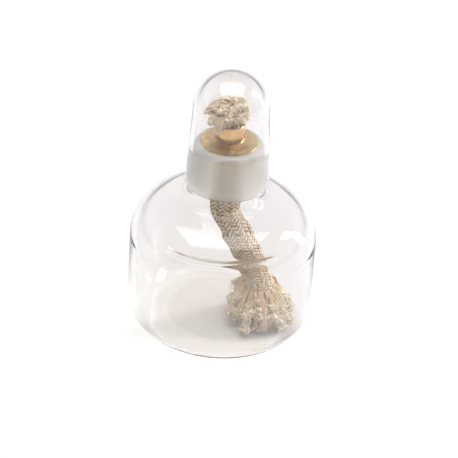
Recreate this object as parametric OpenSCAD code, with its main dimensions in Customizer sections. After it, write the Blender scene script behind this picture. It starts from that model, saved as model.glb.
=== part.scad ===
// Glass alcohol burner: a blown fount with a ground neck, a ground-on glass cap,
// a brass wick holder and a braided cotton wick whose two ends are frayed.
// Millimetres. Origin on the bench at the middle of the foot, +Z up.

/* [Fount] */
// Outer diameter of the glass fount
body_d = 80; // [64:1:100]
// Height of the straight wall's top edge, where the shoulder starts to round
wall_top = 41.4; // [34:0.1:52]
// Outer radius of the rounded heel between foot and wall
heel_r = 11; // [6:0.5:14]
// Outer radius of the rounded shoulder
shoulder_r = 19.4; // [12:0.1:22]
// Slope of the top of the shoulder, in degrees below level
shoulder_slope = 17.2; // [10:0.2:25]
// Thickness of the blown glass wall
wall_t = 3; // [2.2:0.1:3.6]
// Thickness of the glass base
base_t = 3.2; // [2.4:0.1:4]
// How far the middle of the base is pushed up
punt_h = 1.2; // [0.4:0.1:2.5]
// Width of the level ring that the fount stands on
foot_w = 3; // [2:0.5:5]

/* [Neck] */
// Outer diameter of the clear neck below the ground joint
neck_d = 32; // [27:0.5:38]
// Inside diameter of the neck at its mouth
bore_d = 21.6; // [19.6:0.1:23]
// How much wider the neck's bore is at its lower end, on the diameter
bore_flare = 1.6; // [0.6:0.1:2.4]
// Outer fillet radius where the neck meets the shoulder
neck_fillet = 6.5; // [4:0.5:8]
// Length of the clear neck between fillet and ground joint
clear_neck = 1.4; // [1:0.1:4]
// Length of the ground joint
joint_len = 16.7; // [13:0.1:22]
// Radial narrowing of the ground joint per millimetre of height
joint_taper = 0.05; // [0.03:0.005:0.06]
// Rounding of the neck's outer top edge
lip_r = 2.5; // [1:0.1:3]

/* [Cap] */
// Overall height of the glass cap
cap_h = 51.4; // [46:0.2:64]
// Wall thickness of the cap
cap_t = 1.7; // [1.3:0.1:2]
// Radial clearance between the two ground surfaces
joint_gap = 0.05; // [0.02:0.01:0.1]

/* [Brass wick holder] */
// Outer diameter of the brass disc
disc_d = 24; // [23:0.5:27]
// Thickness of the disc at its edge
disc_edge = 0.8; // [0.6:0.1:1.2]
// Rise of the disc's conical top from edge to tube
disc_rise = 1.4; // [0.8:0.1:2.4]
// Depth of the spigot that centres the disc in the neck
spigot_h = 4.5; // [3:0.5:6]
// Radial clearance of the spigot in the neck's bore
spigot_gap = 0.3; // [0.2:0.05:0.4]
// Inside diameter of the wick tube
tube_id = 11.5; // [10:0.1:12.5]
// Wall thickness of the wick tube
tube_t = 0.6; // [0.4:0.1:0.9]
// Height of the tube's mouth above the neck's rim
tube_above = 9.5; // [7:0.5:12]
// Length of the tube below the neck's rim
tube_below = 12.5; // [8:0.5:16]

/* [Wick] */
// Running clearance of the wick in its tube, on the radius
wick_gap = 0.1; // [0.05:0.01:0.1]
// Thickness of the braided sleeve
sleeve_t = 0.9; // [0.6:0.1:1.2]
// How much the wick swells below the tube, on the diameter
swell = 1.3; // [0:0.1:1.4]
// Number of core strands round the middle one
outer_strands = 6; // [6]
// Height of the upper frayed end above the tube's mouth
upper_fray_h = 8.6; // [6:0.2:9]
// Height of the lower frayed end
lower_fray_h = 13; // [10:0.5:16]
// Diameter of the lower frayed end, side to side
lower_fray_d = 33; // [26:1:36]
// Direction in which the wick leans, in degrees from +X
lean_angle = -7; // [-40:1:40]

/* [Travel] */
// Lift of the wick holder that is free under the closed cap
holder_lift = 6; // [4:0.5:7]
// Length of wick that can be drawn up through the tube under the closed cap
wick_feed = 3; // [2:0.5:3]

/* [Hidden] */
$fn = 96;

arc_step = 6;      // degrees between the points of a profile's arc
seat_gap = 0.3;    // free height under a soft part that rests on something
soft_fn = 28;      // facets of the spheres that make a soft part

// Fount
body_r = body_d / 2;
neck_r = neck_d / 2;
foot_r = body_r - heel_r;                 // outer edge of the level foot ring
floor_rise = punt_h / 4;                  // rise of the middle of the floor inside
punt_edge_r = (foot_r - foot_w) * 0.6;
shoulder_x = body_r - shoulder_r;         // middle of the shoulder's arc
// Ground joint: its lower end, its upper end and the rim of the neck
joint_z = fillet_z(shoulder_r, neck_r, neck_fillet) + clear_neck;
joint_top = joint_z + joint_len;
rim_z = joint_top + lip_r;
joint_top_r = neck_r - joint_taper * joint_len;
bore_r = bore_d / 2;
bore_low_r = bore_r + bore_flare / 2;
mouth_edge = 0.4;                         // rounding of the bore's top edge
inner_fillet = neck_fillet + wall_t;
bore_low_z = fillet_z(shoulder_r - wall_t, bore_low_r, inner_fillet);

// Cap
cap_skirt = 0.3;                          // the cap reaches just past the ground band
cap_z = joint_z - cap_skirt;
cap_dome_r = (cap_bore_r(cap_h) + cap_t) / (1 - joint_taper);
cap_dome_z = cap_h - cap_dome_r;          // middle of the dome above the cap's rim

// Brass
tube_r = tube_id / 2 + tube_t;
disc_r = disc_d / 2;
spigot_r = bore_r - spigot_gap;
spigot_t = 1.2;                           // wall of the spigot
disc_top_z = rim_z + disc_edge + disc_rise;
tube_top = rim_z + tube_above;
tube_low = rim_z - tube_below;

// Wick: straight in the tube and the neck, then a curve down to the floor
wick_r = tube_id / 2 - wick_gap;
sleeve_top = tube_top + seat_gap;
floor_z = base_t + floor_rise + seat_gap;
fray_top = floor_z + lower_fray_h;
slim_run = 1.5;                           // the wick stays slim a little below the tube
swell_from = tube_low - wick_feed - slim_run;
swell_to = swell_from - 5;
straight_end = 10;                        // straight run below the swelling and the neck
bend_z = min(bore_low_z, swell_to) - straight_end;
// The frayed end nests in the heel: its rounded edge is tighter than the glass there
fray_edge = (heel_r - wall_t) * 0.6;
fray_spread = lower_fray_d / 2 - fray_edge;
lean_r = foot_r - fray_spread;
drop = bend_z - fray_top;
straight_rings = 8;
curve_rings = 26;

function fillet_z(arc_r, neck, fillet) =
    wall_top + (arc_r + fillet - (neck + fillet - body_r + shoulder_r)
        * sin(shoulder_slope)) / cos(shoulder_slope);

// Inside radius of the cap's cone at a height above its rim
function cap_bore_r(h) = neck_r + joint_gap + joint_taper * (cap_skirt - h);

// Points of an arc round [x, z] from angle a to angle b
function arc(x, z, r, a, b) =
    let (n = max(2, ceil(abs(b - a) / arc_step)))
    [for (i = [0:n]) let (t = a + (b - a) * i / n) [x + r * cos(t), z + r * sin(t)]];

// Shoulder and concave fillet up to a neck, for the outside or the inside of the glass
function shoulder(arc_r, neck, fillet) = concat(
    arc(shoulder_x, wall_top, arc_r, 0, 90 - shoulder_slope),
    arc(neck + fillet, fillet_z(arc_r, neck, fillet), fillet, 270 - shoulder_slope, 180));

// Outside of the fount, from the middle of its underside to the neck's lip
function fount_outside() = concat(
    [[0, punt_h], [punt_edge_r, punt_h * 0.75], [foot_r - foot_w, 0]],
    arc(foot_r, heel_r, heel_r, -90, 0),
    shoulder(shoulder_r, neck_r, neck_fillet),
    [[neck_r, joint_z]],
    arc(joint_top_r - lip_r, joint_top, lip_r, 0, 90));

// Inside of the fount, from the neck's mouth down to the middle of its floor
function fount_inside() =
    let (up = concat(
        arc(foot_r, base_t + heel_r - wall_t, heel_r - wall_t, -90, 0),
        shoulder(shoulder_r - wall_t, bore_low_r, inner_fillet)),
        n = len(up))
    concat(arc(bore_r + mouth_edge, rim_z - mouth_edge, mouth_edge, 90, 180),
        [for (i = [n - 1:-1:0]) up[i]],
        [[punt_edge_r, base_t + floor_rise * 0.8], [0, base_t + floor_rise]]);

module fount() {
    color([0.86, 0.9, 0.92, 0.35])
    rotate_extrude()
    polygon(concat(fount_outside(), fount_inside()));
}

module cap() {
    rim = cap_t / 2;   // the cap's lower rim is fire-polished to a full round
    color([0.86, 0.9, 0.92, 0.35])
    translate([0, 0, cap_z])
    rotate_extrude()
    polygon(concat(
        arc(cap_bore_r(rim) + rim, rim, rim, 180, 360),
        arc(0, cap_dome_z, cap_dome_r, 0, 90),
        arc(0, cap_dome_z, cap_dome_r - cap_t, 90, 0)));
}

// Turned brass disc with a conical top, a level flange that lies on the neck's rim
// and a spigot that centres it in the bore
module holder_disc() {
    edge = 0.2;        // small bevels of the flange's edge
    color([0.78, 0.6, 0.32])
    rotate_extrude()
    polygon([
        [tube_r, rim_z - spigot_h * 0.35],
        [spigot_r - spigot_t, rim_z - spigot_h * 0.35],
        [spigot_r - spigot_t, rim_z - spigot_h],
        [spigot_r, rim_z - spigot_h],
        [spigot_r, rim_z],
        [disc_r - edge, rim_z],
        [disc_r, rim_z + edge],
        [disc_r, rim_z + disc_edge - edge],
        [disc_r - edge, rim_z + disc_edge],
        [tube_r + edge, disc_top_z],
        [tube_r, disc_top_z + edge]]);
}

module wick_tube() {
    bevel = tube_t / 3;
    color([0.82, 0.6, 0.3])
    rotate_extrude()
    polygon([
        [tube_r - tube_t, tube_low],
        [tube_r, tube_low],
        [tube_r, tube_top - bevel],
        [tube_r - bevel, tube_top],
        [tube_r - tube_t, tube_top]]);
}

// The wick's line: a straight run on the axis, then a cubic curve to the frayed end
curve_from = [0, bend_z];
curve_pull_a = [0, bend_z - drop * 0.15];
curve_pull_b = [lean_r * 0.7, fray_top + drop * 0.54];
curve_to = [lean_r, fray_top];
function curve_point(t) = curve_from * pow(1 - t, 3) + curve_pull_a * 3 * t * pow(1 - t, 2)
    + curve_pull_b * 3 * t * t * (1 - t) + curve_to * t * t * t;

wick_line = concat(
    [for (i = [0:straight_rings - 1])
        [0, sleeve_top + (swell_from - sleeve_top) * i / straight_rings]],
    [[0, swell_from], [0, (swell_from + swell_to) / 2], [0, swell_to]],
    [for (i = [0:curve_rings]) curve_point(i / curve_rings)]);

// How far the wick has swollen at a height, from 0 in the tube to 1 below it
function swollen(z) =
    let (t = min(1, max(0, (swell_from - z) / (swell_from - swell_to))))
    t * t * (3 - 2 * t);
function wick_radius(z) = wick_r + swell / 2 * swollen(z);

// Direction of the line at its point i, in its own upright plane
function line_dir(i) =
    let (a = wick_line[max(0, i - 1)], b = wick_line[min(len(wick_line) - 1, i + 1)])
    (b - a) / norm(b - a);

// A ring of points round the line, moved sideways by the share [u, v] of the wick's radius
function ring(i, r, sides, u = 0, v = 0) =
    let (p = wick_line[i],
        d = i == 0 || i == len(wick_line) - 1 ? [0, -1] : line_dir(i),
        w = wick_radius(p[1]) - sleeve_t,
        size = r(wick_radius(p[1])))
    [for (k = [0:sides - 1])
        let (a = 360 * (k + 0.5) / sides,
            across = size * cos(a) + u * w,
            out = size * sin(a) + v * w,
            x = p[0] - d[1] * out,
            z = p[1] + d[0] * out)
        [x * cos(lean_angle) - across * sin(lean_angle),
            x * sin(lean_angle) + across * cos(lean_angle), z]];

// Faces that join ring a to ring b, facing outwards or inwards
function band(a, b, sides, flip = false) =
    [for (k = [0:sides - 1])
        let (n = (k + 1) % sides, f = [a + k, b + k, b + n, a + n])
        flip ? [f[3], f[2], f[1], f[0]] : f];

module rod(r, sides, u = 0, v = 0) {
    n = len(wick_line);
    points = [for (i = [0:n - 1]) each ring(i, r, sides, u, v)];
    polyhedron(points, concat(
        [[for (k = [0:sides - 1]) k]],
        [for (i = [0:n - 2]) each band(i * sides, (i + 1) * sides, sides)],
        [[for (k = [sides - 1:-1:0]) (n - 1) * sides + k]]), convexity = 6);
}

// Braided cotton sleeve: a tube swept along the wick's line
module wick_sleeve() {
    sides = 24;
    n = len(wick_line);
    half = n * sides;
    outer = function (w) w;
    // the inner polygon's flats stay outside the strands
    inner = function (w) (w - sleeve_t) / cos(180 / sides);
    points = concat(
        [for (i = [0:n - 1]) each ring(i, outer, sides)],
        [for (i = [0:n - 1]) each ring(i, inner, sides)]);
    color([0.86, 0.8, 0.7])
    polyhedron(points, concat(
        band(half, 0, sides),
        [for (i = [0:n - 2]) each band(i * sides, (i + 1) * sides, sides)],
        [for (i = [0:n - 2])
            each band(half + i * sides, half + (i + 1) * sides, sides, true)],
        band((n - 1) * sides, half + (n - 1) * sides, sides)), convexity = 8);
}

// One of the seven strands that fill the sleeve; number 1 is the middle one
module core_strand(number) {
    pack = 0.97;       // the strands just miss one another
    size = function (w) pack * (w - sleeve_t) / 3;
    a = 360 * (number - 2) / outer_strands;
    off = number == 1 ? 0 : 0.652;
    color([0.93, 0.88, 0.78])
    rod(size, 8, off * cos(a), off * sin(a));
}

// Frayed upper end: a soft cap of loose yarn that leans over one side of the tube
module upper_fray() {
    low = sleeve_top;
    lump = 1.8;
    color([0.93, 0.88, 0.78])
    intersection() {
        hull() {
            for (a = [0:60:300])
                translate([(wick_r - lump) * cos(a), (wick_r - lump) * sin(a), low])
                    sphere(r = lump, $fn = soft_fn);
            translate([-tube_r - 2.2, -1.6, low + 3.6]) sphere(r = lump, $fn = soft_fn);
            translate([-tube_r - 0.6, -3.4, low + 0.8]) sphere(r = lump, $fn = soft_fn);
            translate([tube_r - 1.4, 0.6, low + upper_fray_h - lump])
                sphere(r = lump, $fn = soft_fn);
            translate([-1, 2.4, low + upper_fray_h - lump])
                sphere(r = lump, $fn = soft_fn);
        }
        translate([-disc_r, -disc_r, low]) cube([2 * disc_r, 2 * disc_r, 2 * disc_r]);
    }
}

// Frayed lower end: a low soft mop that rests on the fount's floor
module lower_fray() {
    color([0.93, 0.88, 0.78])
    rotate([0, 0, lean_angle])
    translate([lean_r, 0, floor_z])
    hull() {
        for (a = [0:45:315])
            translate([fray_spread * cos(a), fray_spread * sin(a), fray_edge])
                sphere(r = fray_edge, $fn = soft_fn);
        cylinder(r = wick_r + swell / 2, h = lower_fray_h, $fn = soft_fn);
    }
}

fount();
cap();
holder_disc();
wick_tube();
wick_sleeve();
core_strand(1);  // core_strand_1
core_strand(2);  // core_strand_2
core_strand(3);  // core_strand_3
core_strand(4);  // core_strand_4
core_strand(5);  // core_strand_5
core_strand(6);  // core_strand_6
core_strand(7);  // core_strand_7
upper_fray();
lower_fray();
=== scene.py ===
"""Looks of a glass alcohol burner: blown glass, turned brass and a braided cotton wick."""

import math

import bpy
import numpy as np
from mathutils import Matrix, Vector


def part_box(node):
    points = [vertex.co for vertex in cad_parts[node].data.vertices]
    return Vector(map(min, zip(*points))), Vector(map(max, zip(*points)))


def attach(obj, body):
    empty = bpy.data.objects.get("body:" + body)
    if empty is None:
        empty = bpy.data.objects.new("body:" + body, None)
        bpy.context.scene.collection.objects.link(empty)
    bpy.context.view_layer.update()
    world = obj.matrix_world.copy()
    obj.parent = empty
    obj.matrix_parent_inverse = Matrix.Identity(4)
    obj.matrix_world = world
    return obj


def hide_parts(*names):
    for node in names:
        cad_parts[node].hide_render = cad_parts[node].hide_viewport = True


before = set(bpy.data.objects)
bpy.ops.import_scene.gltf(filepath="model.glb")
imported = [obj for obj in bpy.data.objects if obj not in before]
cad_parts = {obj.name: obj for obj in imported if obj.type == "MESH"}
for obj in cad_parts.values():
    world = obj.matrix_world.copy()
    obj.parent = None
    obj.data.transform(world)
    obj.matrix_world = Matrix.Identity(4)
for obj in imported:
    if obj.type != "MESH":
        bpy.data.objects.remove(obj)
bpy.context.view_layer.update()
MM = 0.001
rng = np.random.default_rng(20)


# --- Sizes, in millimetres: the outer ones come from the frame, the rest repeat part.scad -
def frame_box(node):
    """A CAD node's lowest and highest corners in millimetres."""
    low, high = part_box(node)
    return np.array(low) / MM, np.array(high) / MM


BODY_R = frame_box("fount")[1][0]
RIM_Z = frame_box("fount")[1][2]
CAP_Z = frame_box("cap")[0][2]
CAP_TOP = frame_box("cap")[1][2]
TUBE_R = frame_box("wick_tube")[1][0]
TUBE_TOP = frame_box("wick_tube")[1][2]
DISC_R = frame_box("holder_disc")[1][0]

WALL_TOP = 41.4         # top of the fount's straight wall
HEEL_R = 11.0
SHOULDER_R = 19.4
SHOULDER_SLOPE = math.radians(17.2)
WALL = 3.0
BASE = 3.2
PUNT = 1.2
FLOOR_RISE = PUNT / 4
FOOT_W = 3.0
NECK_R = 16.0
NECK_FILLET = 6.5
CLEAR_NECK = 1.4
JOINT_LEN = 16.7
JOINT_TAPER = 0.05
JOINT_GAP = 0.05
LIP_R = 2.5
BORE_R = 10.8
BORE_LOW_R = 11.6
MOUTH_EDGE = 0.4
CAP_SKIRT = 0.3
CAP_WALL = 1.7

SLEEVE_TOP = frame_box("wick_sleeve")[1][2]
WICK_R = TUBE_R - 0.7   # the wick inside its tube
SWELL = 0.65            # how much it swells below, on the radius
SWELL_Z = (71.5, 66.5)  # the heights between which it swells
BEND_Z = 56.5           # the wick hangs straight down to here
FRAY_LOW, FRAY_HIGH = frame_box("lower_fray")
FRAY_AT = (FRAY_LOW + FRAY_HIGH) / 2
FRAY_TOP = FRAY_HIGH[2]
FLOOR_IN = FRAY_LOW[2]  # the height that the lower frayed end lies at
LEAN_R = math.hypot(FRAY_AT[0], FRAY_AT[1])
LEAN = math.atan2(FRAY_AT[1], FRAY_AT[0])


# --- Camera -----------------------------------------------------------------------------
def make_camera():
    """The camera looks down at the lamp from the front, a little rolled."""
    place = Vector((0.0, -707.5, 510.8)) * MM
    aim = Vector((2.34, -4.61, 47.84)) * MM
    roll = math.radians(3.946)
    data = bpy.data.cameras.new("camera")
    data.lens = 155.9
    data.sensor_width = 36.0
    data.clip_start = 0.05
    data.clip_end = 20.0
    camera = bpy.data.objects.new("camera", data)
    bpy.context.scene.collection.objects.link(camera)
    camera.location = place
    turn = (aim - place).to_track_quat("-Z", "Y").to_matrix().to_4x4()
    camera.matrix_world = Matrix.Translation(place) @ turn @ Matrix.Rotation(roll, 4, "Z")
    bpy.context.scene.camera = camera


make_camera()


# --- Meshes -----------------------------------------------------------------------------
def make_object(name, points_mm, faces, materials, slots=None, smooth=True, tone=None):
    """A mesh object from points in millimetres; slots gives each face's material."""
    mesh = bpy.data.meshes.new(name)
    mesh.from_pydata((np.asarray(points_mm, float) * MM).tolist(), [], faces)
    for material in materials:
        mesh.materials.append(material)
    if slots is not None:
        mesh.polygons.foreach_set("material_index", np.asarray(slots, np.int32))
    mesh.polygons.foreach_set("use_smooth", np.full(len(mesh.polygons), smooth))
    if tone is not None:
        attribute = mesh.attributes.new("tone", "FLOAT", "POINT")
        attribute.data.foreach_set("value", np.asarray(tone, np.float32))
    mesh.update()
    thing = bpy.data.objects.new(name, mesh)
    bpy.context.scene.collection.objects.link(thing)
    return thing


def arc(x, z, r, a, b, step=3.0):
    """Points of an arc round (x, z) from angle a to angle b, in degrees."""
    count = max(3, int(abs(b - a) / step) + 1)
    angles = np.radians(np.linspace(a, b, count))
    return [(x + r * math.cos(t), z + r * math.sin(t)) for t in angles]


def line(a, b, count):
    """Points from a up to but not including b."""
    return [tuple(np.array(a) + (np.array(b) - np.array(a)) * i / count) for i in range(count)]


def lathe(name, stretches, materials, sides=192):
    """A body of revolution from [(profile points, material slot)], open at the axis only."""
    profile = []
    slot_of = []
    for points, slot in stretches:
        for point in points:
            profile.append(point)
            slot_of.append(slot)
    profile = np.array(profile)
    angles = np.linspace(0, 2 * math.pi, sides, endpoint=False)
    points = []
    rings = []
    for r, z in profile:
        if r < 1e-6:
            rings.append([len(points)])
            points.append((0.0, 0.0, z))
        else:
            rings.append(list(range(len(points), len(points) + sides)))
            points.extend((r * math.cos(a), r * math.sin(a), z) for a in angles)
    faces = []
    slots = []
    closed = len(rings[0]) > 1
    for i in range(len(rings) if closed else len(rings) - 1):
        low, high = rings[i], rings[(i + 1) % len(rings)]
        for k in range(sides):
            n = (k + 1) % sides
            if len(low) == 1:
                faces.append((low[0], high[n], high[k]))
            elif len(high) == 1:
                faces.append((low[k], low[n], high[0]))
            else:
                faces.append((low[k], low[n], high[n], high[k]))
            slots.append(slot_of[i])
    return make_object(name, points, faces, materials, slots)


def tubes(paths, ups, widths, heights, sides):
    """Tubes of elliptic section along paths (yarns, rings, 3), with ups across their height.

    Returns points and faces. widths and heights are half sizes (yarns, rings)."""
    paths = np.asarray(paths, float)
    yarns, rings = paths.shape[:2]
    along = np.gradient(paths, axis=1)
    along /= np.linalg.norm(along, axis=2, keepdims=True) + 1e-12
    side = np.cross(along, ups)
    side /= np.linalg.norm(side, axis=2, keepdims=True) + 1e-12
    up = np.cross(side, along)
    angles = np.arange(sides) * 2 * math.pi / sides
    across = side[:, :, None, :] * (np.cos(angles)[None, None, :, None] * widths[:, :, None, None])
    above = up[:, :, None, :] * (np.sin(angles)[None, None, :, None] * heights[:, :, None, None])
    points = (paths[:, :, None, :] + across + above).reshape(-1, 3)
    faces = []
    ring = np.arange(sides)
    after = (ring + 1) % sides
    for yarn in range(yarns):
        start = yarn * rings * sides
        for i in range(rings - 1):
            low = start + i * sides
            high = low + sides
            faces.extend(zip(low + ring, low + after, high + after, high + ring))
        faces.append(tuple(start + ring[::-1]))
        faces.append(tuple(start + (rings - 1) * sides + ring))
    return points, [tuple(int(v) for v in f) for f in faces]


def carried_ups(paths, first=(0.3, 0.2, 1.0)):
    """An up direction at each ring, carried along each path without twist."""
    paths = np.asarray(paths, float)
    along = np.gradient(paths, axis=1)
    along /= np.linalg.norm(along, axis=2, keepdims=True) + 1e-12
    ups = np.empty_like(along)
    up = np.broadcast_to(np.array(first, float), along[:, 0].shape).copy()
    for i in range(along.shape[1]):
        up -= along[:, i] * np.sum(up * along[:, i], axis=1, keepdims=True)
        up /= np.linalg.norm(up, axis=1, keepdims=True) + 1e-12
        ups[:, i] = up
    return ups


# --- Materials --------------------------------------------------------------------------
def new_material(name):
    """An empty node material with its output node."""
    material = bpy.data.materials.new(name)
    material.use_nodes = True
    tree = material.node_tree
    tree.nodes.clear()
    output = tree.nodes.new("ShaderNodeOutputMaterial")
    return material, tree, output


def add(tree, kind, **inputs):
    """A node with plain values on its inputs, by socket name."""
    node = tree.nodes.new(kind)
    for key, value in inputs.items():
        node.inputs[key.replace("_", " ")].default_value = value
    return node


def noise(tree, scale, detail=3.0, stretch=None):
    """A noise texture in object coordinates, in features per metre."""
    place = tree.nodes.new("ShaderNodeTexCoord")
    texture = add(tree, "ShaderNodeTexNoise", Scale=scale, Detail=detail)
    source = place.outputs["Object"]
    if stretch is not None:
        mapping = add(tree, "ShaderNodeMapping", Scale=stretch)
        tree.links.new(source, mapping.inputs["Vector"])
        source = mapping.outputs["Vector"]
    tree.links.new(source, texture.inputs["Vector"])
    return texture


def bump(tree, height, strength, distance):
    """A bump node over a height socket; distance is in metres."""
    node = add(tree, "ShaderNodeBump", Strength=strength, Distance=distance)
    tree.links.new(height, node.inputs["Height"])
    return node


def ramp(tree, factor, stops):
    """A colour ramp over a factor socket, from [(position, (r, g, b))]."""
    node = tree.nodes.new("ShaderNodeValToRGB")
    elements = node.color_ramp.elements
    while len(elements) < len(stops):
        elements.new(0.5)
    for element, (position, colour) in zip(elements, stops):
        element.position = position
        element.color = (*colour, 1.0)
    tree.links.new(factor, node.inputs["Fac"])
    return node


def let_lamps_through(tree, output, shader, shadow):
    """Rays from lamps pass this glass straight, dimmed to the colour shadow."""
    path = tree.nodes.new("ShaderNodeLightPath")
    clear = add(tree, "ShaderNodeBsdfTransparent", Color=(*shadow, 1.0))
    mix = tree.nodes.new("ShaderNodeMixShader")
    tree.links.new(path.outputs["Is Shadow Ray"], mix.inputs[0])
    tree.links.new(shader, mix.inputs[1])
    tree.links.new(clear.outputs[0], mix.inputs[2])
    tree.links.new(mix.outputs[0], output.inputs["Surface"])


def clear_glass(name, tint, shadow):
    """Blown glass: clear, with a faint waviness."""
    material, tree, output = new_material(name)
    glass = add(tree, "ShaderNodeBsdfPrincipled", Base_Color=(*tint, 1.0),
                Transmission_Weight=1.0, IOR=1.47, Roughness=0.0)
    wave = noise(tree, 22.0, 1.0)
    tree.links.new(bump(tree, wave.outputs["Fac"], 0.12, 0.0005).outputs[0],
                   glass.inputs["Normal"])
    let_lamps_through(tree, output, glass.outputs[0], shadow)
    return material


def ground_glass(name):
    """A ground joint: fine scratches round the axis that blur and whiten what is behind."""
    material, tree, output = new_material(name)
    glass = add(tree, "ShaderNodeBsdfPrincipled", Base_Color=(0.97, 0.945, 0.89, 1.0),
                Transmission_Weight=0.72, IOR=1.47, Roughness=0.38)
    grain = noise(tree, 2200.0, 2.0, (1.0, 1.0, 4.0))
    tree.links.new(bump(tree, grain.outputs["Fac"], 0.3, 0.0001).outputs[0],
                   glass.inputs["Normal"])
    let_lamps_through(tree, output, glass.outputs[0], (0.9, 0.89, 0.87))
    return material


def brass(name, dark, light, roughness, turned):
    """Brass with fine tool marks: turned ones run round the axis, drawn ones along it."""
    material, tree, output = new_material(name)
    metal = add(tree, "ShaderNodeBsdfPrincipled", Metallic=1.0,
                Anisotropic=0.75 if turned else 0.0)
    stain = noise(tree, 260.0, 4.0)
    tint = ramp(tree, stain.outputs["Fac"], [(0.3, dark), (0.7, light)])
    tree.links.new(tint.outputs["Color"], metal.inputs["Base Color"])
    place = tree.nodes.new("ShaderNodeTexCoord")
    apart = tree.nodes.new("ShaderNodeSeparateXYZ")
    tree.links.new(place.outputs["Object"], apart.inputs[0])
    if turned:
        flat = tree.nodes.new("ShaderNodeCombineXYZ")
        tree.links.new(apart.outputs["X"], flat.inputs["X"])
        tree.links.new(apart.outputs["Y"], flat.inputs["Y"])
        length = tree.nodes.new("ShaderNodeVectorMath")
        length.operation = "LENGTH"
        tree.links.new(flat.outputs[0], length.inputs[0])
        mark_at = length.outputs["Value"]
    else:
        mark_at = apart.outputs["Z"]
    marks = add(tree, "ShaderNodeTexNoise", Scale=3500.0, Detail=2.0)
    marks.noise_dimensions = "1D"
    tree.links.new(mark_at, marks.inputs["W"])
    rough = add(tree, "ShaderNodeMapRange", From_Min=0.3, From_Max=0.7,
                To_Min=roughness - 0.07, To_Max=roughness + 0.12)
    tree.links.new(marks.outputs["Fac"], rough.inputs["Value"])
    tree.links.new(rough.outputs[0], metal.inputs["Roughness"])
    tree.links.new(bump(tree, marks.outputs["Fac"], 0.35, 0.00004).outputs[0],
                   metal.inputs["Normal"])
    tree.links.new(metal.outputs[0], output.inputs["Surface"])
    return material


def cotton(name, stops, fibre=2600.0, depth=0.6):
    """Natural cotton yarn: colour by the tone of each yarn, with fibres in its bump; on the braid
    the tone also holds painted shade.
    """
    material, tree, output = new_material(name)
    yarn = add(tree, "ShaderNodeBsdfPrincipled", Roughness=0.9, Sheen_Weight=0.15,
               Sheen_Roughness=0.5, Specular_IOR_Level=0.2)
    tone = tree.nodes.new("ShaderNodeAttribute")
    tone.attribute_name = "tone"
    patch = noise(tree, 900.0, 3.0)
    spread = add(tree, "ShaderNodeMapRange", To_Min=-0.14, To_Max=0.14)
    tree.links.new(patch.outputs["Fac"], spread.inputs["Value"])
    total = tree.nodes.new("ShaderNodeMath")
    tree.links.new(tone.outputs["Fac"], total.inputs[0])
    tree.links.new(spread.outputs[0], total.inputs[1])
    tint = ramp(tree, total.outputs[0], stops)
    tree.links.new(tint.outputs["Color"], yarn.inputs["Base Color"])
    fibres = noise(tree, fibre, 4.0)
    tree.links.new(bump(tree, fibres.outputs["Fac"], depth, 0.00025).outputs[0],
                   yarn.inputs["Normal"])
    tree.links.new(yarn.outputs[0], output.inputs["Surface"])
    return material


def white_floor(name):
    """A white sweep that keeps the lamp's shadow; only rays that look at it see it whiter."""
    material, tree, output = new_material(name)
    plain = add(tree, "ShaderNodeBsdfDiffuse", Color=(0.86, 0.86, 0.86, 1.0))
    path = tree.nodes.new("ShaderNodeLightPath")
    seen = path.outputs["Is Camera Ray"]
    for other in ("Is Glossy Ray", "Is Transmission Ray"):
        most = tree.nodes.new("ShaderNodeMath")
        most.operation = "MAXIMUM"
        tree.links.new(seen, most.inputs[0])
        tree.links.new(path.outputs[other], most.inputs[1])
        seen = most.outputs[0]
    glow = add(tree, "ShaderNodeEmission", Color=(1.0, 1.0, 1.0, 1.0))
    tree.links.new(add_scaled(tree, seen, FLOOR_GLOW), glow.inputs["Strength"])
    both = tree.nodes.new("ShaderNodeAddShader")
    tree.links.new(plain.outputs[0], both.inputs[0])
    tree.links.new(glow.outputs[0], both.inputs[1])
    tree.links.new(both.outputs[0], output.inputs["Surface"])
    return material


def add_scaled(tree, socket, factor):
    """A socket times a plain number."""
    node = tree.nodes.new("ShaderNodeMath")
    node.operation = "MULTIPLY"
    node.inputs[1].default_value = factor
    tree.links.new(socket, node.inputs[0])
    return node.outputs[0]


FLOOR_GLOW = 0.2

# the tints are partly the glass's own faint colour and partly painted shade that dims what is seen
# through it; the darker base glass paints shade on the floor seen through the fount's bottom
FOUNT_GLASS = clear_glass("fount_clear_glass", (0.905, 0.89, 0.885), (0.93, 0.925, 0.915))
BASE_GLASS = clear_glass("fount_base_glass", (0.83, 0.81, 0.785), (0.9, 0.885, 0.87))
CAP_GLASS = clear_glass("cap_clear_glass", (0.935, 0.92, 0.92), (0.95, 0.945, 0.94))
GROUND = ground_glass("ground_joint_glass")
DISC_BRASS = brass("turned_brass", (0.60, 0.42, 0.19), (0.82, 0.61, 0.32), 0.2, True)
TUBE_BRASS = brass("drawn_brass", (0.66, 0.41, 0.19), (0.82, 0.55, 0.28), 0.17, False)
# the braid's ramp runs from painted shade at its dark end, for dips and inner faces, to the yarn's
# lit colour
BRAID_TONE_AND_SHADE_STOPS = [(0.0, (0.16, 0.08, 0.04)), (0.45, (0.74, 0.55, 0.38)), (1.0, (0.95, 0.83, 0.67))]
FRAY_STOPS = [(0.0, (0.50, 0.28, 0.13)), (0.45, (0.93, 0.74, 0.53)), (1.0, (1.0, 0.93, 0.79))]
BRAID = cotton("braided_cotton_yarn", BRAID_TONE_AND_SHADE_STOPS)
FRAY = cotton("frayed_cotton_yarn", FRAY_STOPS)
ROVING = cotton("cotton_roving", FRAY_STOPS, 1800.0)


# --- Glass ------------------------------------------------------------------------------
def fillet_z(arc_r, neck, fillet):
    """Height of the middle of the fillet that joins a shoulder arc to a neck."""
    reach = neck + fillet - BODY_R + SHOULDER_R
    return WALL_TOP + (arc_r + fillet - reach * math.sin(SHOULDER_SLOPE)) / math.cos(SHOULDER_SLOPE)


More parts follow.
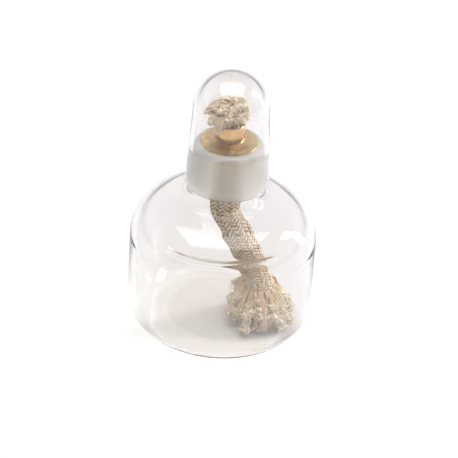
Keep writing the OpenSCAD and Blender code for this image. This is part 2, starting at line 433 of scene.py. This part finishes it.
def shoulder(arc_r, neck, fillet):
    """Shoulder arc and fillet, from the wall's top to the neck."""
    slope = math.degrees(SHOULDER_SLOPE)
    return (arc(BODY_R - SHOULDER_R, WALL_TOP, arc_r, 0, 90 - slope)
            + arc(neck + fillet, fillet_z(arc_r, neck, fillet), fillet, 270 - slope, 180, 5.0))


FOOT_R = BODY_R - HEEL_R
JOINT_Z = fillet_z(SHOULDER_R, NECK_R, NECK_FILLET) + CLEAR_NECK
JOINT_TOP = JOINT_Z + JOINT_LEN
JOINT_TOP_R = NECK_R - JOINT_TAPER * JOINT_LEN


HEEL_IN = 5.0           # inside radius of the heel
RIDGE_AT = 31.0         # where the ridge is on the shoulder's inner arc, in degrees
RIDGE_WIDE = 5.6        # half width of the ridge, in degrees
RIDGE_HIGH = 1.0
RIDGE_SPAN = 52.0       # how far it runs to each side of the front, in degrees
RIDGE_FADE = 22.0       # over how many degrees it dies out


def add_ridge(mesh):
    """A fold round part of the shoulder's inner bend, a guess at the dark curve seen there."""
    points = np.empty(len(mesh.vertices) * 3)
    mesh.vertices.foreach_get("co", points)
    points = points.reshape(-1, 3) / MM
    r = np.hypot(points[:, 0], points[:, 1])
    across = r - (BODY_R - SHOULDER_R)
    up = points[:, 2] - WALL_TOP
    arc_r = SHOULDER_R - WALL
    on_arc = (np.abs(np.hypot(across, up) - arc_r) < 0.02) & (up > 0)
    t = (np.degrees(np.arctan2(up, across)) - RIDGE_AT) / RIDGE_WIDE
    round_at = np.degrees(np.arctan2(points[:, 1], points[:, 0])) + 90.0
    fade = np.clip((RIDGE_SPAN - np.abs(round_at)) / RIDGE_FADE, 0, 1)
    high = RIDGE_HIGH * np.exp(-2 * t * t) * fade * fade * (3 - 2 * fade) * on_arc
    points[:, 0] -= high * across / arc_r * points[:, 0] / np.maximum(r, 1e-9)
    points[:, 1] -= high * across / arc_r * points[:, 1] / np.maximum(r, 1e-9)
    points[:, 2] -= high * up / arc_r
    mesh.vertices.foreach_set("co", (points * MM).reshape(-1))
    mesh.update()


def neck_inside():
    """The inside fillet between shoulder and neck."""
    slope = math.degrees(SHOULDER_SLOPE)
    fillet = NECK_FILLET + WALL
    return arc(BORE_LOW_R + fillet, fillet_z(SHOULDER_R - WALL, BORE_LOW_R, fillet), fillet,
               270 - slope, 180, 4.0)


def make_fount():
    """The fount, one closed wall of glass with a ground band outside its neck."""
    flat_r = FOOT_R - FOOT_W
    floor = [(0.0, BASE + FLOOR_RISE), (flat_r * 0.3, BASE + FLOOR_RISE * 0.95),
             (flat_r * 0.6, BASE + FLOOR_RISE * 0.8), (flat_r * 0.85, BASE + FLOOR_RISE * 0.35)]
    inside_up = (arc(BODY_R - WALL - HEEL_IN, BASE + HEEL_IN, HEEL_IN, -90, 0)
                 + arc(BODY_R - SHOULDER_R, WALL_TOP, SHOULDER_R - WALL, 0,
                       90 - math.degrees(SHOULDER_SLOPE), 0.75)
                 + neck_inside()
                 + arc(BORE_R + MOUTH_EDGE, RIM_Z - MOUTH_EDGE, MOUTH_EDGE, 180, 90, 20.0))
    under = [(0.0, PUNT), (flat_r * 0.3, PUNT * 0.95), (flat_r * 0.6, PUNT * 0.75),
             (flat_r * 0.85, PUNT * 0.35), (flat_r, 0.0)]
    outside_low = (arc(FOOT_R, HEEL_R, HEEL_R, -90, 0)
                   + shoulder(SHOULDER_R, NECK_R, NECK_FILLET)
                   + [(NECK_R, JOINT_Z - 0.4)])
    band = line((NECK_R, JOINT_Z), (JOINT_TOP_R, JOINT_TOP), 6)
    lip = arc(JOINT_TOP_R - LIP_R, JOINT_TOP, LIP_R, 0, 90, 6.0)
    fount = lathe("fount_glass", [(under, 2), (outside_low, 0), (band + lip, 1),
                                  (inside_up[::-1], 0), (floor[::-1], 2)],
                  [FOUNT_GLASS, GROUND, BASE_GLASS])
    add_ridge(fount.data)
    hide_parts("fount")
    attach(fount, "fount")


def cap_bore_r(height):
    """Inside radius of the cap's cone at a height above its rim."""
    return NECK_R + JOINT_GAP + JOINT_TAPER * (CAP_SKIRT - height)


def make_cap():
    """The cap, one closed wall of glass whose skirt is ground inside."""
    tall = CAP_TOP - CAP_Z
    dome_r = (cap_bore_r(tall) + CAP_WALL) / (1 - JOINT_TAPER)
    dome_z = tall - dome_r
    rim = CAP_WALL / 2
    ground_low, ground_high = 1.9, JOINT_LEN + 0.2
    edge = arc(cap_bore_r(rim) + rim, rim, rim, 180, 360, 15.0)
    dome = arc(0, dome_z, dome_r, 0, 90, 2.5)
    hollow = arc(0, dome_z, dome_r - CAP_WALL, 90, 0, 2.5)
    skirt = [(cap_bore_r(ground_high), ground_high)]
    foot = [(cap_bore_r(ground_low), ground_low)]

    def lifted(points):
        return [(max(r, 0.0), z + CAP_Z) for r, z in points]

    wall = line((cap_bore_r(rim) + CAP_WALL, rim), (dome_r, dome_z), 8)[1:]
    cap = lathe("cap_glass", [(lifted(dome[::-1]), 0), (lifted(wall[::-1]), 0),
                              (lifted(edge[::-1]), 0), (lifted(foot), 1), (lifted(skirt), 0),
                              (lifted(hollow[::-1]), 0)], [CAP_GLASS, GROUND])
    cap.data.flip_normals()
    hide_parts("cap")
    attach(cap, "cap")


make_fount()
make_cap()


# --- Brass ------------------------------------------------------------------------------
def finish_node(node, material):
    """A carried-over CAD node gets its material."""
    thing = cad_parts[node]
    thing.data.materials.clear()
    thing.data.materials.append(material)


finish_node("holder_disc", DISC_BRASS)
finish_node("wick_tube", TUBE_BRASS)


# --- Wick: its line ---------------------------------------------------------------------
def wick_line(count):
    """Points of the wick's centreline from its top to the lower frayed end, evenly spaced."""
    drop = BEND_Z - FRAY_TOP
    controls = np.array([(0, BEND_Z), (0, BEND_Z - 0.15 * drop),
                         (0.7 * LEAN_R, FRAY_TOP + 0.54 * drop), (LEAN_R, FRAY_TOP)])
    t = np.linspace(0, 1, 200)[:, None]
    curve = (controls[0] * (1 - t) ** 3 + controls[1] * 3 * t * (1 - t) ** 2
             + controls[2] * 3 * t * t * (1 - t) + controls[3] * t ** 3)
    rough = np.vstack([[(0, SLEEVE_TOP)], curve])
    run = np.concatenate([[0], np.cumsum(np.linalg.norm(np.diff(rough, axis=0), axis=1))])
    even = np.linspace(0, run[-1], count)
    r = np.interp(even, run, rough[:, 0])
    z = np.interp(even, run, rough[:, 1])
    return np.stack([r * math.cos(LEAN), r * math.sin(LEAN), z], axis=1), run[-1]


LINE, WICK_LENGTH = wick_line(600)
LINE_ALONG = np.gradient(LINE, axis=0)
LINE_ALONG /= np.linalg.norm(LINE_ALONG, axis=1, keepdims=True)
LINE_SIDE = np.array([-math.sin(LEAN), math.cos(LEAN), 0.0])
LINE_OUT = np.cross(LINE_SIDE, LINE_ALONG)


def at_share(values, share):
    """Values along the line, read at shares from 0 to 1 of its length."""
    places = np.linspace(0, 1, len(values))
    return np.stack([np.interp(share, places, values[:, k]) for k in range(3)], axis=-1)


def wick_radius(z):
    """Outer radius of the wick at a height."""
    t = np.clip((SWELL_Z[0] - z) / (SWELL_Z[0] - SWELL_Z[1]), 0, 1)
    flare = np.clip((FRAY_TOP + 7.0 - z) / 7.0, 0, 1) ** 2
    return WICK_R - 0.05 + SWELL * t * t * (3 - 2 * t) + 1.1 * flare


def on_wick(share, angle, radius):
    """Points at a distance from the wick's line, and the directions away from the line."""
    centre = at_share(LINE, share)
    out = at_share(LINE_OUT, share)
    out /= np.linalg.norm(out, axis=-1, keepdims=True)
    away = out * np.cos(angle)[..., None] + LINE_SIDE * np.sin(angle)[..., None]
    return centre + away * radius[..., None], away


# --- Wick: braided sleeve ---------------------------------------------------------------
CARRIERS = 16           # yarns that run each way round
THICK = 0.46            # thickness of a braid yarn
LIFT = 0.42             # how far a yarn rises and dips as it crosses the others
RINGS = 400             # rings along each yarn


def braid_turn(share):
    """How far the yarns have turned round the wick, in radians, at each share of its length."""
    places = np.linspace(0, 1, 400)
    pitch = np.radians(44 + 13 * np.clip((places - 0.45) / 0.3, 0, 1))
    rate = np.tan(pitch) / 6.0 * WICK_LENGTH
    turned = np.concatenate([[0], np.cumsum((rate[1:] + rate[:-1]) / 2 * np.diff(places))])
    return np.interp(share, places, turned), np.interp(share, places, pitch)


def make_braid():
    """The sleeve: two sets of yarns that pass over two and under two of the other set."""
    share = np.linspace(0, 1, RINGS)
    turn, pitch = braid_turn(share)
    all_points = []
    all_faces = []
    tones = []
    start = 0
    for way in (1, -1):
        first = np.arange(CARRIERS) * 2 * math.pi / CARRIERS
        angle = first[:, None] + way * turn[None, :]
        wander = rng.normal(0, 0.02, (CARRIERS, 1)) + 0.02 * np.sin(
            angle * 3 + rng.uniform(0, 6, (CARRIERS, 1)))
        level = LIFT * way * np.cos(math.pi / 2 * (angle * CARRIERS / math.pi - 0.5))
        shares = np.broadcast_to(share, angle.shape)
        outer = wick_radius(at_share(LINE, share)[:, 2])[None, :]
        lump = 0.16 * np.sin(shares * 61 + 2 * angle) * np.clip((shares - 0.35) * 4, 0, 1)
        radius = outer - LIFT - THICK / 2 + level + lump
        paths, away = on_wick(shares, angle + wander, radius)
        spacing = 2 * math.pi * outer / CARRIERS * np.cos(pitch)[None, :]
        slack = 1 + rng.normal(0, 0.06, (CARRIERS, 1)) + 0.08 * np.sin(
            shares * 170 + rng.uniform(0, 6, (CARRIERS, 1)))
        widths = spacing * 0.41 * slack
        heights = np.broadcast_to(THICK / 2, widths.shape)
        points, faces = tubes(paths, away, widths, heights, 6)
        all_points.append(points)
        all_faces.extend(tuple(v + start for v in f) for f in faces)
        start += len(points)
        # the tone is each yarn's own random tone plus painted shade: darker where a yarn dips under
        # the other set, and on each yarn the face towards the core is painted darker and the outer
        # face lighter
        tone = 0.42 + rng.normal(0, 0.1, (CARRIERS, 1)) + 0.3 * level / LIFT
        edge = 0.62 * np.sin(np.arange(6) * math.pi / 3) - 0.16
        tones.append((tone[:, :, None] + edge[None, None, :]).reshape(-1))
    sleeve = make_object("wick_sleeve_braid", np.vstack(all_points), all_faces, [BRAID],
                         tone=np.concatenate(tones))
    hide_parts("wick_sleeve")
    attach(sleeve, "wick")
    return sleeve


# --- Wick: core strands -----------------------------------------------------------------
def make_strand(number):
    """One soft lumpy strand of roving inside the sleeve; number 1 is the middle one."""
    rings, sides = 90, 12
    share = np.linspace(0, 1, rings)[None, :]
    inner = wick_radius(at_share(LINE, share[0])[:, 2])[None, :] - 0.9 - 0.45
    off = 0.0 if number == 1 else 0.65
    angle = np.full(share.shape, math.radians(60 * (number - 2)))
    paths, away = on_wick(share, angle, off * inner)
    lump = 1 + 0.07 * np.sin(share * 90 + number) + 0.05 * np.sin(share * 211 + 2 * number)
    size = inner * 0.33 * lump
    points, faces = tubes(paths, away, size, size, sides)
    tone = np.full(len(points), 0.25)
    strand = make_object(f"core_roving_{number}", points, faces, [ROVING], tone=tone)
    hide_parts(f"core_strand_{number}")
    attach(strand, "wick")


# --- Wick: frayed ends ------------------------------------------------------------------
def spline(points, count):
    """A smooth line through a few points (Catmull-Rom)."""
    p = np.array(points, float)
    p = np.vstack([2 * p[0] - p[1], p, 2 * p[-1] - p[-2]])
    spans = len(p) - 3
    out = []
    for u in np.linspace(0, spans - 1e-6, count):
        i = int(u)
        t = u - i
        a, b, c, d = p[i:i + 4]
        out.append(0.5 * (2 * b + (c - a) * t + (2 * a - 5 * b + 4 * c - d) * t * t
                          + (3 * b - a - 3 * c + d) * t ** 3))
    return np.array(out)


def bundle(guide, yarns, narrow, wide, thick, rings=22, wild=0.25):
    """Yarn paths that follow a guide line and fan out from narrow to wide round it."""
    centre = spline(guide, rings)
    up = carried_ups(centre[None])[0]
    along = np.gradient(centre, axis=0)
    along /= np.linalg.norm(along, axis=1, keepdims=True)
    side = np.cross(along, up)
    t = np.linspace(0, 1, rings)
    reach = np.sqrt(rng.uniform(0.05, 1, yarns))
    angle = rng.uniform(0, 2 * math.pi, yarns)
    twist = rng.normal(0.6, 0.5, yarns)
    spread = narrow + (wide - narrow) * np.clip(t / 0.8, 0, 1) ** 1.5
    # the fan closes again at the very end, so that the bundle ends in a round clump
    close = 1 - 0.8 * np.clip((t - 0.72) / 0.28, 0, 1) ** 2
    a = angle[:, None] + twist[:, None] * t[None, :]
    off = reach[:, None] * (spread * close)[None, :]
    wave = wild * (0.3 + t[None, :]) * np.sin(
        rng.uniform(9, 26, yarns)[:, None] * t[None, :] + rng.uniform(0, 6, yarns)[:, None])
    cut = rng.uniform(0.9, 1.0, yarns)
    shares = t[None, :] * cut[:, None]
    rows = shares * (rings - 1)
    low = np.clip(rows.astype(int), 0, rings - 2)
    part = (rows - low)[..., None]

    def along_guide(values):
        return values[low] * (1 - part) + values[low + 1] * part

    paths = (along_guide(centre)
             + along_guide(side) * ((off + wave) * np.cos(a))[..., None]
             + along_guide(up) * ((off + wave) * np.sin(a))[..., None])
    size = thick * rng.uniform(0.75, 1.25, yarns)[:, None] * (0.8 + 0.5 * t[None, :])
    size = size * (1 - 0.75 * np.clip((t[None, :] - 0.93) / 0.07, 0, 1))
    return paths, size


def clump(guide, fat, rings=16):
    """The soft middle of a bundle, so that no light shows through it."""
    centre = spline(guide, rings)[None]
    t = np.linspace(0, 1, rings)
    size = fat * (0.35 + 0.65 * t) * np.sqrt(np.clip(1 - ((t - 0.8) / 0.21) ** 2, 0, 1)
                                           * (t > 0.8) + (t <= 0.8))
    return centre, np.maximum(size, 0.05)[None]


def fibres(centre, count, ball, length):
    """Short curly fibres that stand off a clump."""
    rings = 7
    direction = rng.normal(0, 1, (count, 3))
    direction /= np.linalg.norm(direction, axis=1, keepdims=True)
    start = centre + direction * ball * rng.uniform(0.5, 1.0, (count, 1))
    heading = direction + rng.normal(0, 0.8, (count, 3))
    heading /= np.linalg.norm(heading, axis=1, keepdims=True)
    bend = rng.normal(0, 1, (count, 3))
    t = np.linspace(0, 1, rings)[None, :, None]
    size = length * rng.uniform(0.5, 1.2, (count, 1, 1))
    return start[:, None, :] + size * (heading[:, None, :] * t + 0.55 * bend[:, None, :] * t * t)


def curls(centre, ball, count, thick, rings=7):
    """Short yarn ends that curl round a ball, some of them standing off it."""
    axis = rng.normal(0, 1, (count, 3))
    axis /= np.linalg.norm(axis, axis=1, keepdims=True)
    first = np.cross(axis, rng.normal(0, 1, (count, 3)))
    first /= np.linalg.norm(first, axis=1, keepdims=True)
    second = np.cross(axis, first)
    turn = np.linspace(0, 1, rings)[None, :] * rng.uniform(1.2, 2.8, (count, 1))
    reach = ball * (rng.uniform(0.55, 1.0, (count, 1))
                    + 0.22 * np.sin(turn * 2 + rng.uniform(0, 6, (count, 1))))
    paths = np.array(centre, float) + reach[..., None] * (
        first[:, None, :] * np.cos(turn)[..., None] + second[:, None, :] * np.sin(turn)[..., None])
    size = thick * rng.uniform(0.7, 1.2, (count, 1)) * np.ones((1, rings))
    size[:, 0] *= 0.4
    size[:, -1] *= 0.3
    return paths, size


class Yarns:
    """Collects tubes into one mesh, with a tone for each point."""

    def __init__(self):
        self.points = []
        self.faces = []
        self.tones = []
        self.count = 0

    def add(self, paths, size, sides, tone):
        """tone is (yarns, rings)."""
        points, faces = tubes(paths, carried_ups(paths), size, size, sides)
        self.points.append(points)
        self.faces.extend(tuple(v + self.count for v in f) for f in faces)
        self.tones.append(np.repeat(np.asarray(tone).reshape(-1), sides))
        self.count += len(points)

    def build(self, name, material, keep_in=None):
        points = np.vstack(self.points)
        if keep_in is not None:
            points = keep_in(points)
        return make_object(name, points, self.faces, [material], tone=np.concatenate(self.tones))


def fill_roots(yarns, guide, count, narrow, wide, thick, wild=0.3, base=0.1):
    """The yarns of one bundle of a frayed end, round a soft middle."""
    centre, fat = clump(guide, wide * 0.5)
    yarns.add(centre, fat, 8, np.linspace(base - 0.1, 0.45, centre.shape[1])[None, :])
    paths, size = bundle(guide, count, narrow, wide, thick, wild=wild)
    t = np.linspace(0, 1, paths.shape[1])
    tone = base + (0.85 - base) * t[None, :] + rng.normal(0, 0.13, (count, 1))
    yarns.add(paths, size, 5, tone)


def fill_lobes(yarns, hairs, guide, first, balls, ball_size, count, thick):
    """Fluffy balls of curled yarn ends over the outer part of a bundle."""
    path = spline(guide, 40)
    for share in np.linspace(first, 1.0, balls):
        middle = path[int(share * 39)] + rng.normal(0, ball_size * 0.38, 3)
        ball = ball_size * rng.uniform(0.75, 1.15)
        middle[2] = max(middle[2], path[-1][2] - 0.3)
        stand = np.array([[0.0, 0.0, 1.0]]) * np.linspace(-0.72, 0.72, 7)[:, None] * ball
        fat = ball * 0.76 * np.sqrt(1 - np.linspace(-0.97, 0.97, 7) ** 2)
        yarns.add((middle + stand)[None], fat[None], 8, np.full((1, 7), 0.72))
        paths, size = curls(middle, ball, count, thick)
        tone = 0.92 + rng.normal(0, 0.1, (count, 1)) * np.ones((1, paths.shape[1]))
        yarns.add(paths, size, 4, tone)
        loose = fibres(middle, count, ball, 2.1)
        hairs.add(loose, np.full(loose.shape[:2], 0.055), 3, np.full(loose.shape[:2], 1.0))


# Lower frayed end: (direction from the mop's middle, reach, height and size of its end)
MOP_LOW = [(-98, 12.0, 4.6, 2.3), (-78, 13.4, 4.2, 2.2), (-58, 12.2, 4.4, 2.3),
           (-38, 13.8, 4.4, 2.2), (-18, 12.8, 5.0, 2.3), (-118, 12.8, 4.8, 2.2),
           (-138, 11.4, 5.2, 2.2), (-160, 12.6, 6.0, 2.0), (178, 11.8, 5.6, 2.0),
           (152, 12.0, 5.4, 2.0), (124, 11.6, 5.0, 2.1), (96, 12.4, 4.8, 2.1),
           (68, 11.8, 5.0, 2.2), (42, 13.2, 5.4, 2.2), (14, 13.6, 6.0, 2.2)]
MOP_HIGH = [(-108, 8.6, 9.4, 1.7), (-84, 9.8, 8.2, 1.8), (-60, 8.8, 9.2, 1.7),
            (-32, 10.2, 9.0, 1.8), (-6, 10.4, 10.0, 1.7), (24, 11.0, 10.6, 1.6),
            (60, 10.0, 9.8, 1.6), (95, 9.0, 9.2, 1.6), (130, 9.6, 9.8, 1.5),
            (160, 11.6, 13.0, 1.2), (-176, 10.0, 10.0, 1.5), (-152, 9.6, 9.6, 1.6),
            (-130, 9.8, 8.8, 1.7)]


def mop_guide(direction, reach, height):
    """The line of one bundle of the mop, from the sleeve's end to its own end."""
    a = math.radians(direction + rng.normal(0, 2.5))
    out = np.array([math.cos(a), math.sin(a), 0.0])
    across = np.array([-out[1], out[0], 0.0])
    middle = np.array([FRAY_AT[0], FRAY_AT[1], 0.0])
    top = FRAY_TOP + 1.6
    sway = rng.normal(0, 1.1)
    stations = [(3.6, top, 0.0), (7.2, top - 0.6 + 0.15 * (height - 5), 0.2),
                (0.82 * reach + 0.6, 0.6 * height + 0.4 * top, 0.7), (reach + 0.6, height, 1.0)]
    return [middle + out * r + across * sway * share + np.array([0, 0, z])
            for r, z, share in stations]


def keep_in_fount(points):
    """Pushes points of the mop back inside the glass and above its floor."""
    gap = 0.25
    points = points.copy()
    points[:, 2] = np.maximum(points[:, 2], FLOOR_IN - 0.05)
    r = np.hypot(points[:, 0], points[:, 1])
    over = r > FOOT_R
    heel_z = BASE + HEEL_R - WALL
    dr = r - FOOT_R
    dz = np.minimum(points[:, 2] - heel_z, 0.0)
    far = np.hypot(dr, dz)
    room = HEEL_R - WALL - gap
    scale = np.where(over & (far > room), room / np.maximum(far, 1e-9), 1.0)
    new_r = np.where(over, FOOT_R + dr * scale, r)
    points[:, 2] = np.where(over & (points[:, 2] < heel_z), heel_z + dz * scale, points[:, 2])
    points[:, :2] *= (new_r / np.maximum(r, 1e-9))[:, None]
    return points


def finish_fray(yarns, name, node, keep_in):
    fray = yarns.build(name, FRAY, keep_in=keep_in)
    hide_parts(node)
    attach(fray, "wick")
    return fray


def make_lower_fray():
    """The mop at the wick's lower end, spread over the fount's floor."""
    roots, lobes, hairs = Yarns(), Yarns(), Yarns()
    for direction, reach, height, size in MOP_LOW:
        guide = mop_guide(direction, reach, height)
        fill_roots(roots, guide, 20, 1.0, size, 0.28)
        fill_lobes(lobes, hairs, guide, 0.5, 5, size, 24, 0.36)
    for direction, reach, height, size in MOP_HIGH:
        guide = mop_guide(direction, reach, height)
        fill_roots(roots, guide, 18, 0.8, size, 0.26, 0.45)
        fill_lobes(lobes, hairs, guide, 0.66, 3, size * 0.9, 24, 0.28)
    return [finish_fray(roots, "lower_fray_roots", "lower_fray", keep_in_fount),
            finish_fray(lobes, "lower_fray_lobes", "lower_fray", keep_in_fount),
            finish_fray(hairs, "lower_fray_fibres", "lower_fray", keep_in_fount)]


# Upper frayed end: (start in the tube, waypoint, end, size of its end); heights above the tube
TUFT = [((-2.5, -0.5), (-5.5, -1.2, 5.6), (-11.2, -2.6, 5.0), 1.2),
        ((-2.0, 0.8), (-5.2, 0.6, 7.0), (-9.6, -1.0, 6.4), 1.5),
        ((-1.0, 1.8), (-2.6, 2.0, 7.6), (-6.0, 1.2, 8.4), 1.6),
        ((0.5, 2.2), (0.6, 2.6, 7.0), (1.0, 2.6, 9.2), 1.7),
        ((2.2, 1.8), (3.6, 2.8, 6.6), (5.0, 3.2, 9.0), 1.6),
        ((3.2, 0.3), (5.0, 1.0, 5.2), (6.2, 0.6, 7.0), 1.5),
        ((3.0, -1.4), (5.4, -1.6, 3.6), (6.8, -2.4, 4.4), 1.3),
        ((1.6, -2.6), (3.4, -3.8, 3.6), (4.6, -5.2, 3.0), 1.3),
        ((0.0, -3.0), (-0.6, -4.6, 4.0), (-1.6, -6.2, 4.2), 1.4),
        ((-1.8, -2.8), (-3.6, -5.4, 3.0), (-5.4, -7.2, -1.2), 1.2),
        ((-3.2, -1.6), (-6.2, -4.0, 3.2), (-8.8, -5.4, 1.0), 1.3),
        ((-0.6, -0.8), (-2.4, -1.6, 5.6), (-5.2, -3.4, 5.4), 1.7),
        ((0.8, -0.4), (1.2, -1.2, 5.6), (0.6, -2.8, 6.4), 1.7),
        ((1.8, 0.2), (2.8, 0.2, 6.0), (3.4, -0.8, 7.6), 1.6)]


def keep_over_tube(points):
    """Pushes points of the tuft off the tube's wall and rim."""
    gap = 0.12
    points = points.copy()
    r = np.hypot(points[:, 0], points[:, 1])
    low = points[:, 2] < TUBE_TOP + gap
    middle = TUBE_R - 0.3
    inward = low & (r < middle)
    outward = low & (r >= middle)
    new_r = np.where(inward, np.minimum(r, TUBE_R - 0.6 - gap), r)
    new_r = np.where(outward, np.maximum(r, TUBE_R + gap), new_r)
    points[:, :2] *= (new_r / np.maximum(r, 1e-9))[:, None]
    return keep_under_cap(points)


FULL_LIFT = 9.0         # holder_lift and wick_feed at their upper ends
CAP_ROOM = 0.4          # least room between tuft and cap


def keep_under_cap(points):
    """Keeps the tuft clear of the cap, even with holder and wick lifted as far as they go."""
    dome_r = (cap_bore_r(CAP_TOP - CAP_Z) + CAP_WALL) / (1 - JOINT_TAPER)
    middle = np.array([0.0, 0.0, CAP_TOP - dome_r - FULL_LIFT])
    away = points - middle
    flat = away * np.array([1.0, 1.0, 0.0])
    far = np.linalg.norm(np.where(away[:, 2:] > 0, away, flat), axis=1)
    scale = np.minimum(1.0, (dome_r - CAP_WALL - CAP_ROOM) / np.maximum(far, 1e-9))
    away[:, :2] *= scale[:, None]
    away[:, 2] *= np.where(away[:, 2] > 0, scale, 1.0)
    return away + middle


def make_upper_fray():
    """The tuft over the tube's mouth, leaning to the left and hanging over its front rim."""
    roots, lobes, hairs = Yarns(), Yarns(), Yarns()
    for (x, y), way, end, size in TUFT:
        base = np.array([0.0, 0.0, TUBE_TOP])
        guide = [base + (x, y, -2.0), base + (x * 1.05, y * 1.05, 1.0), base + np.array(way),
                 base + np.array(end)]
        fill_roots(roots, guide, 46, 1.1, size * 1.35, 0.16, 0.8, 0.45)
        fill_lobes(lobes, hairs, guide, 0.62, 3, size * 0.8, 30, 0.15)
    return [finish_fray(roots, "upper_fray_roots", "upper_fray", keep_over_tube),
            finish_fray(lobes, "upper_fray_lobes", "upper_fray", keep_over_tube),
            finish_fray(hairs, "upper_fray_fibres", "upper_fray", keep_over_tube)]


SLEEVE = make_braid()
for strand_number in range(1, 8):
    make_strand(strand_number)
LOWER_FRAY = make_lower_fray()
UPPER_FRAY = make_upper_fray()


# --- Floor and light --------------------------------------------------------------------
def make_floor():
    """A wide white sweep just under the foot ring."""
    half = 4000.0
    drop = -0.02
    corners = [(-half, -half, drop), (half, -half, drop), (half, half, drop), (-half, half, drop)]
    floor = make_object("floor", corners, [(0, 1, 2, 3)], [white_floor("white_sweep")])


def area_light(name, place, aim, width, height, power):
    """A soft rectangular lamp; place and aim in metres."""
    data = bpy.data.lights.new(name, "AREA")
    data.shape = "RECTANGLE"
    data.size = width
    data.size_y = height
    data.energy = power
    lamp = bpy.data.objects.new(name, data)
    bpy.context.scene.collection.objects.link(lamp)
    lamp.location = place
    turn = Vector(aim) - Vector(place)
    lamp.rotation_mode = "QUATERNION"
    lamp.rotation_quaternion = turn.to_track_quat("-Z", "Y")
    return lamp


def make_world():
    """A plain studio: glass and metal see its walls as white and its dark upper part as grey."""
    world = bpy.data.worlds.new("studio")
    bpy.context.scene.world = world
    world.use_nodes = True
    tree = world.node_tree
    tree.nodes.clear()
    output = tree.nodes.new("ShaderNodeOutputWorld")
    sky = add(tree, "ShaderNodeBackground", Color=(0.97, 0.96, 0.97, 1.0), Strength=0.34)
    walls = add(tree, "ShaderNodeBackground", Color=(0.98, 0.97, 0.98, 1.0))
    place = tree.nodes.new("ShaderNodeTexCoord")
    apart = tree.nodes.new("ShaderNodeSeparateXYZ")
    tree.links.new(place.outputs["Generated"], apart.inputs[0])
    fade = add(tree, "ShaderNodeMapRange", From_Min=0.35, From_Max=0.8, To_Min=0.95, To_Max=0.3)
    tree.links.new(apart.outputs["Z"], fade.inputs["Value"])
    front = add(tree, "ShaderNodeMapRange", From_Min=-0.5, From_Max=0.3, To_Min=0.3, To_Max=1.0)
    tree.links.new(apart.outputs["Y"], front.inputs["Value"])
    both = tree.nodes.new("ShaderNodeMath")
    both.operation = "MULTIPLY"
    tree.links.new(fade.outputs[0], both.inputs[0])
    tree.links.new(front.outputs[0], both.inputs[1])
    # a darker strip just above the horizon draws thin lines along the edges of the glass
    skirting = add(tree, "ShaderNodeMapRange", From_Min=0.02, From_Max=0.16, To_Min=0.25, To_Max=1.0)
    tree.links.new(apart.outputs["Z"], skirting.inputs["Value"])
    lined = tree.nodes.new("ShaderNodeMath")
    lined.operation = "MULTIPLY"
    tree.links.new(both.outputs[0], lined.inputs[0])
    tree.links.new(skirting.outputs[0], lined.inputs[1])
    tree.links.new(lined.outputs[0], walls.inputs["Strength"])
    path = tree.nodes.new("ShaderNodeLightPath")
    seen = tree.nodes.new("ShaderNodeMath")
    seen.operation = "MAXIMUM"
    tree.links.new(path.outputs["Is Transmission Ray"], seen.inputs[0])
    tree.links.new(path.outputs["Is Glossy Ray"], seen.inputs[1])
    mix = tree.nodes.new("ShaderNodeMixShader")
    tree.links.new(seen.outputs[0], mix.inputs[0])
    tree.links.new(sky.outputs[0], mix.inputs[1])
    tree.links.new(walls.outputs[0], mix.inputs[2])
    tree.links.new(mix.outputs[0], output.inputs["Surface"])


make_floor()
area_light("overhead_box", (-0.02, 0.0, 1.05), (-0.02, 0.001, 0.05), 1.2, 0.8, 8.0)
area_light("right_box", (0.62, 0.22, 0.5), (0.0, 0.0, 0.06), 0.15, 0.15, 1.8)
area_light("side_strip", (0.8, 0.35, 0.2), (0.0, 0.0, 0.06), 0.12, 0.5, 0.6)
make_world()
bpy.context.scene.view_settings.view_transform = "Standard"
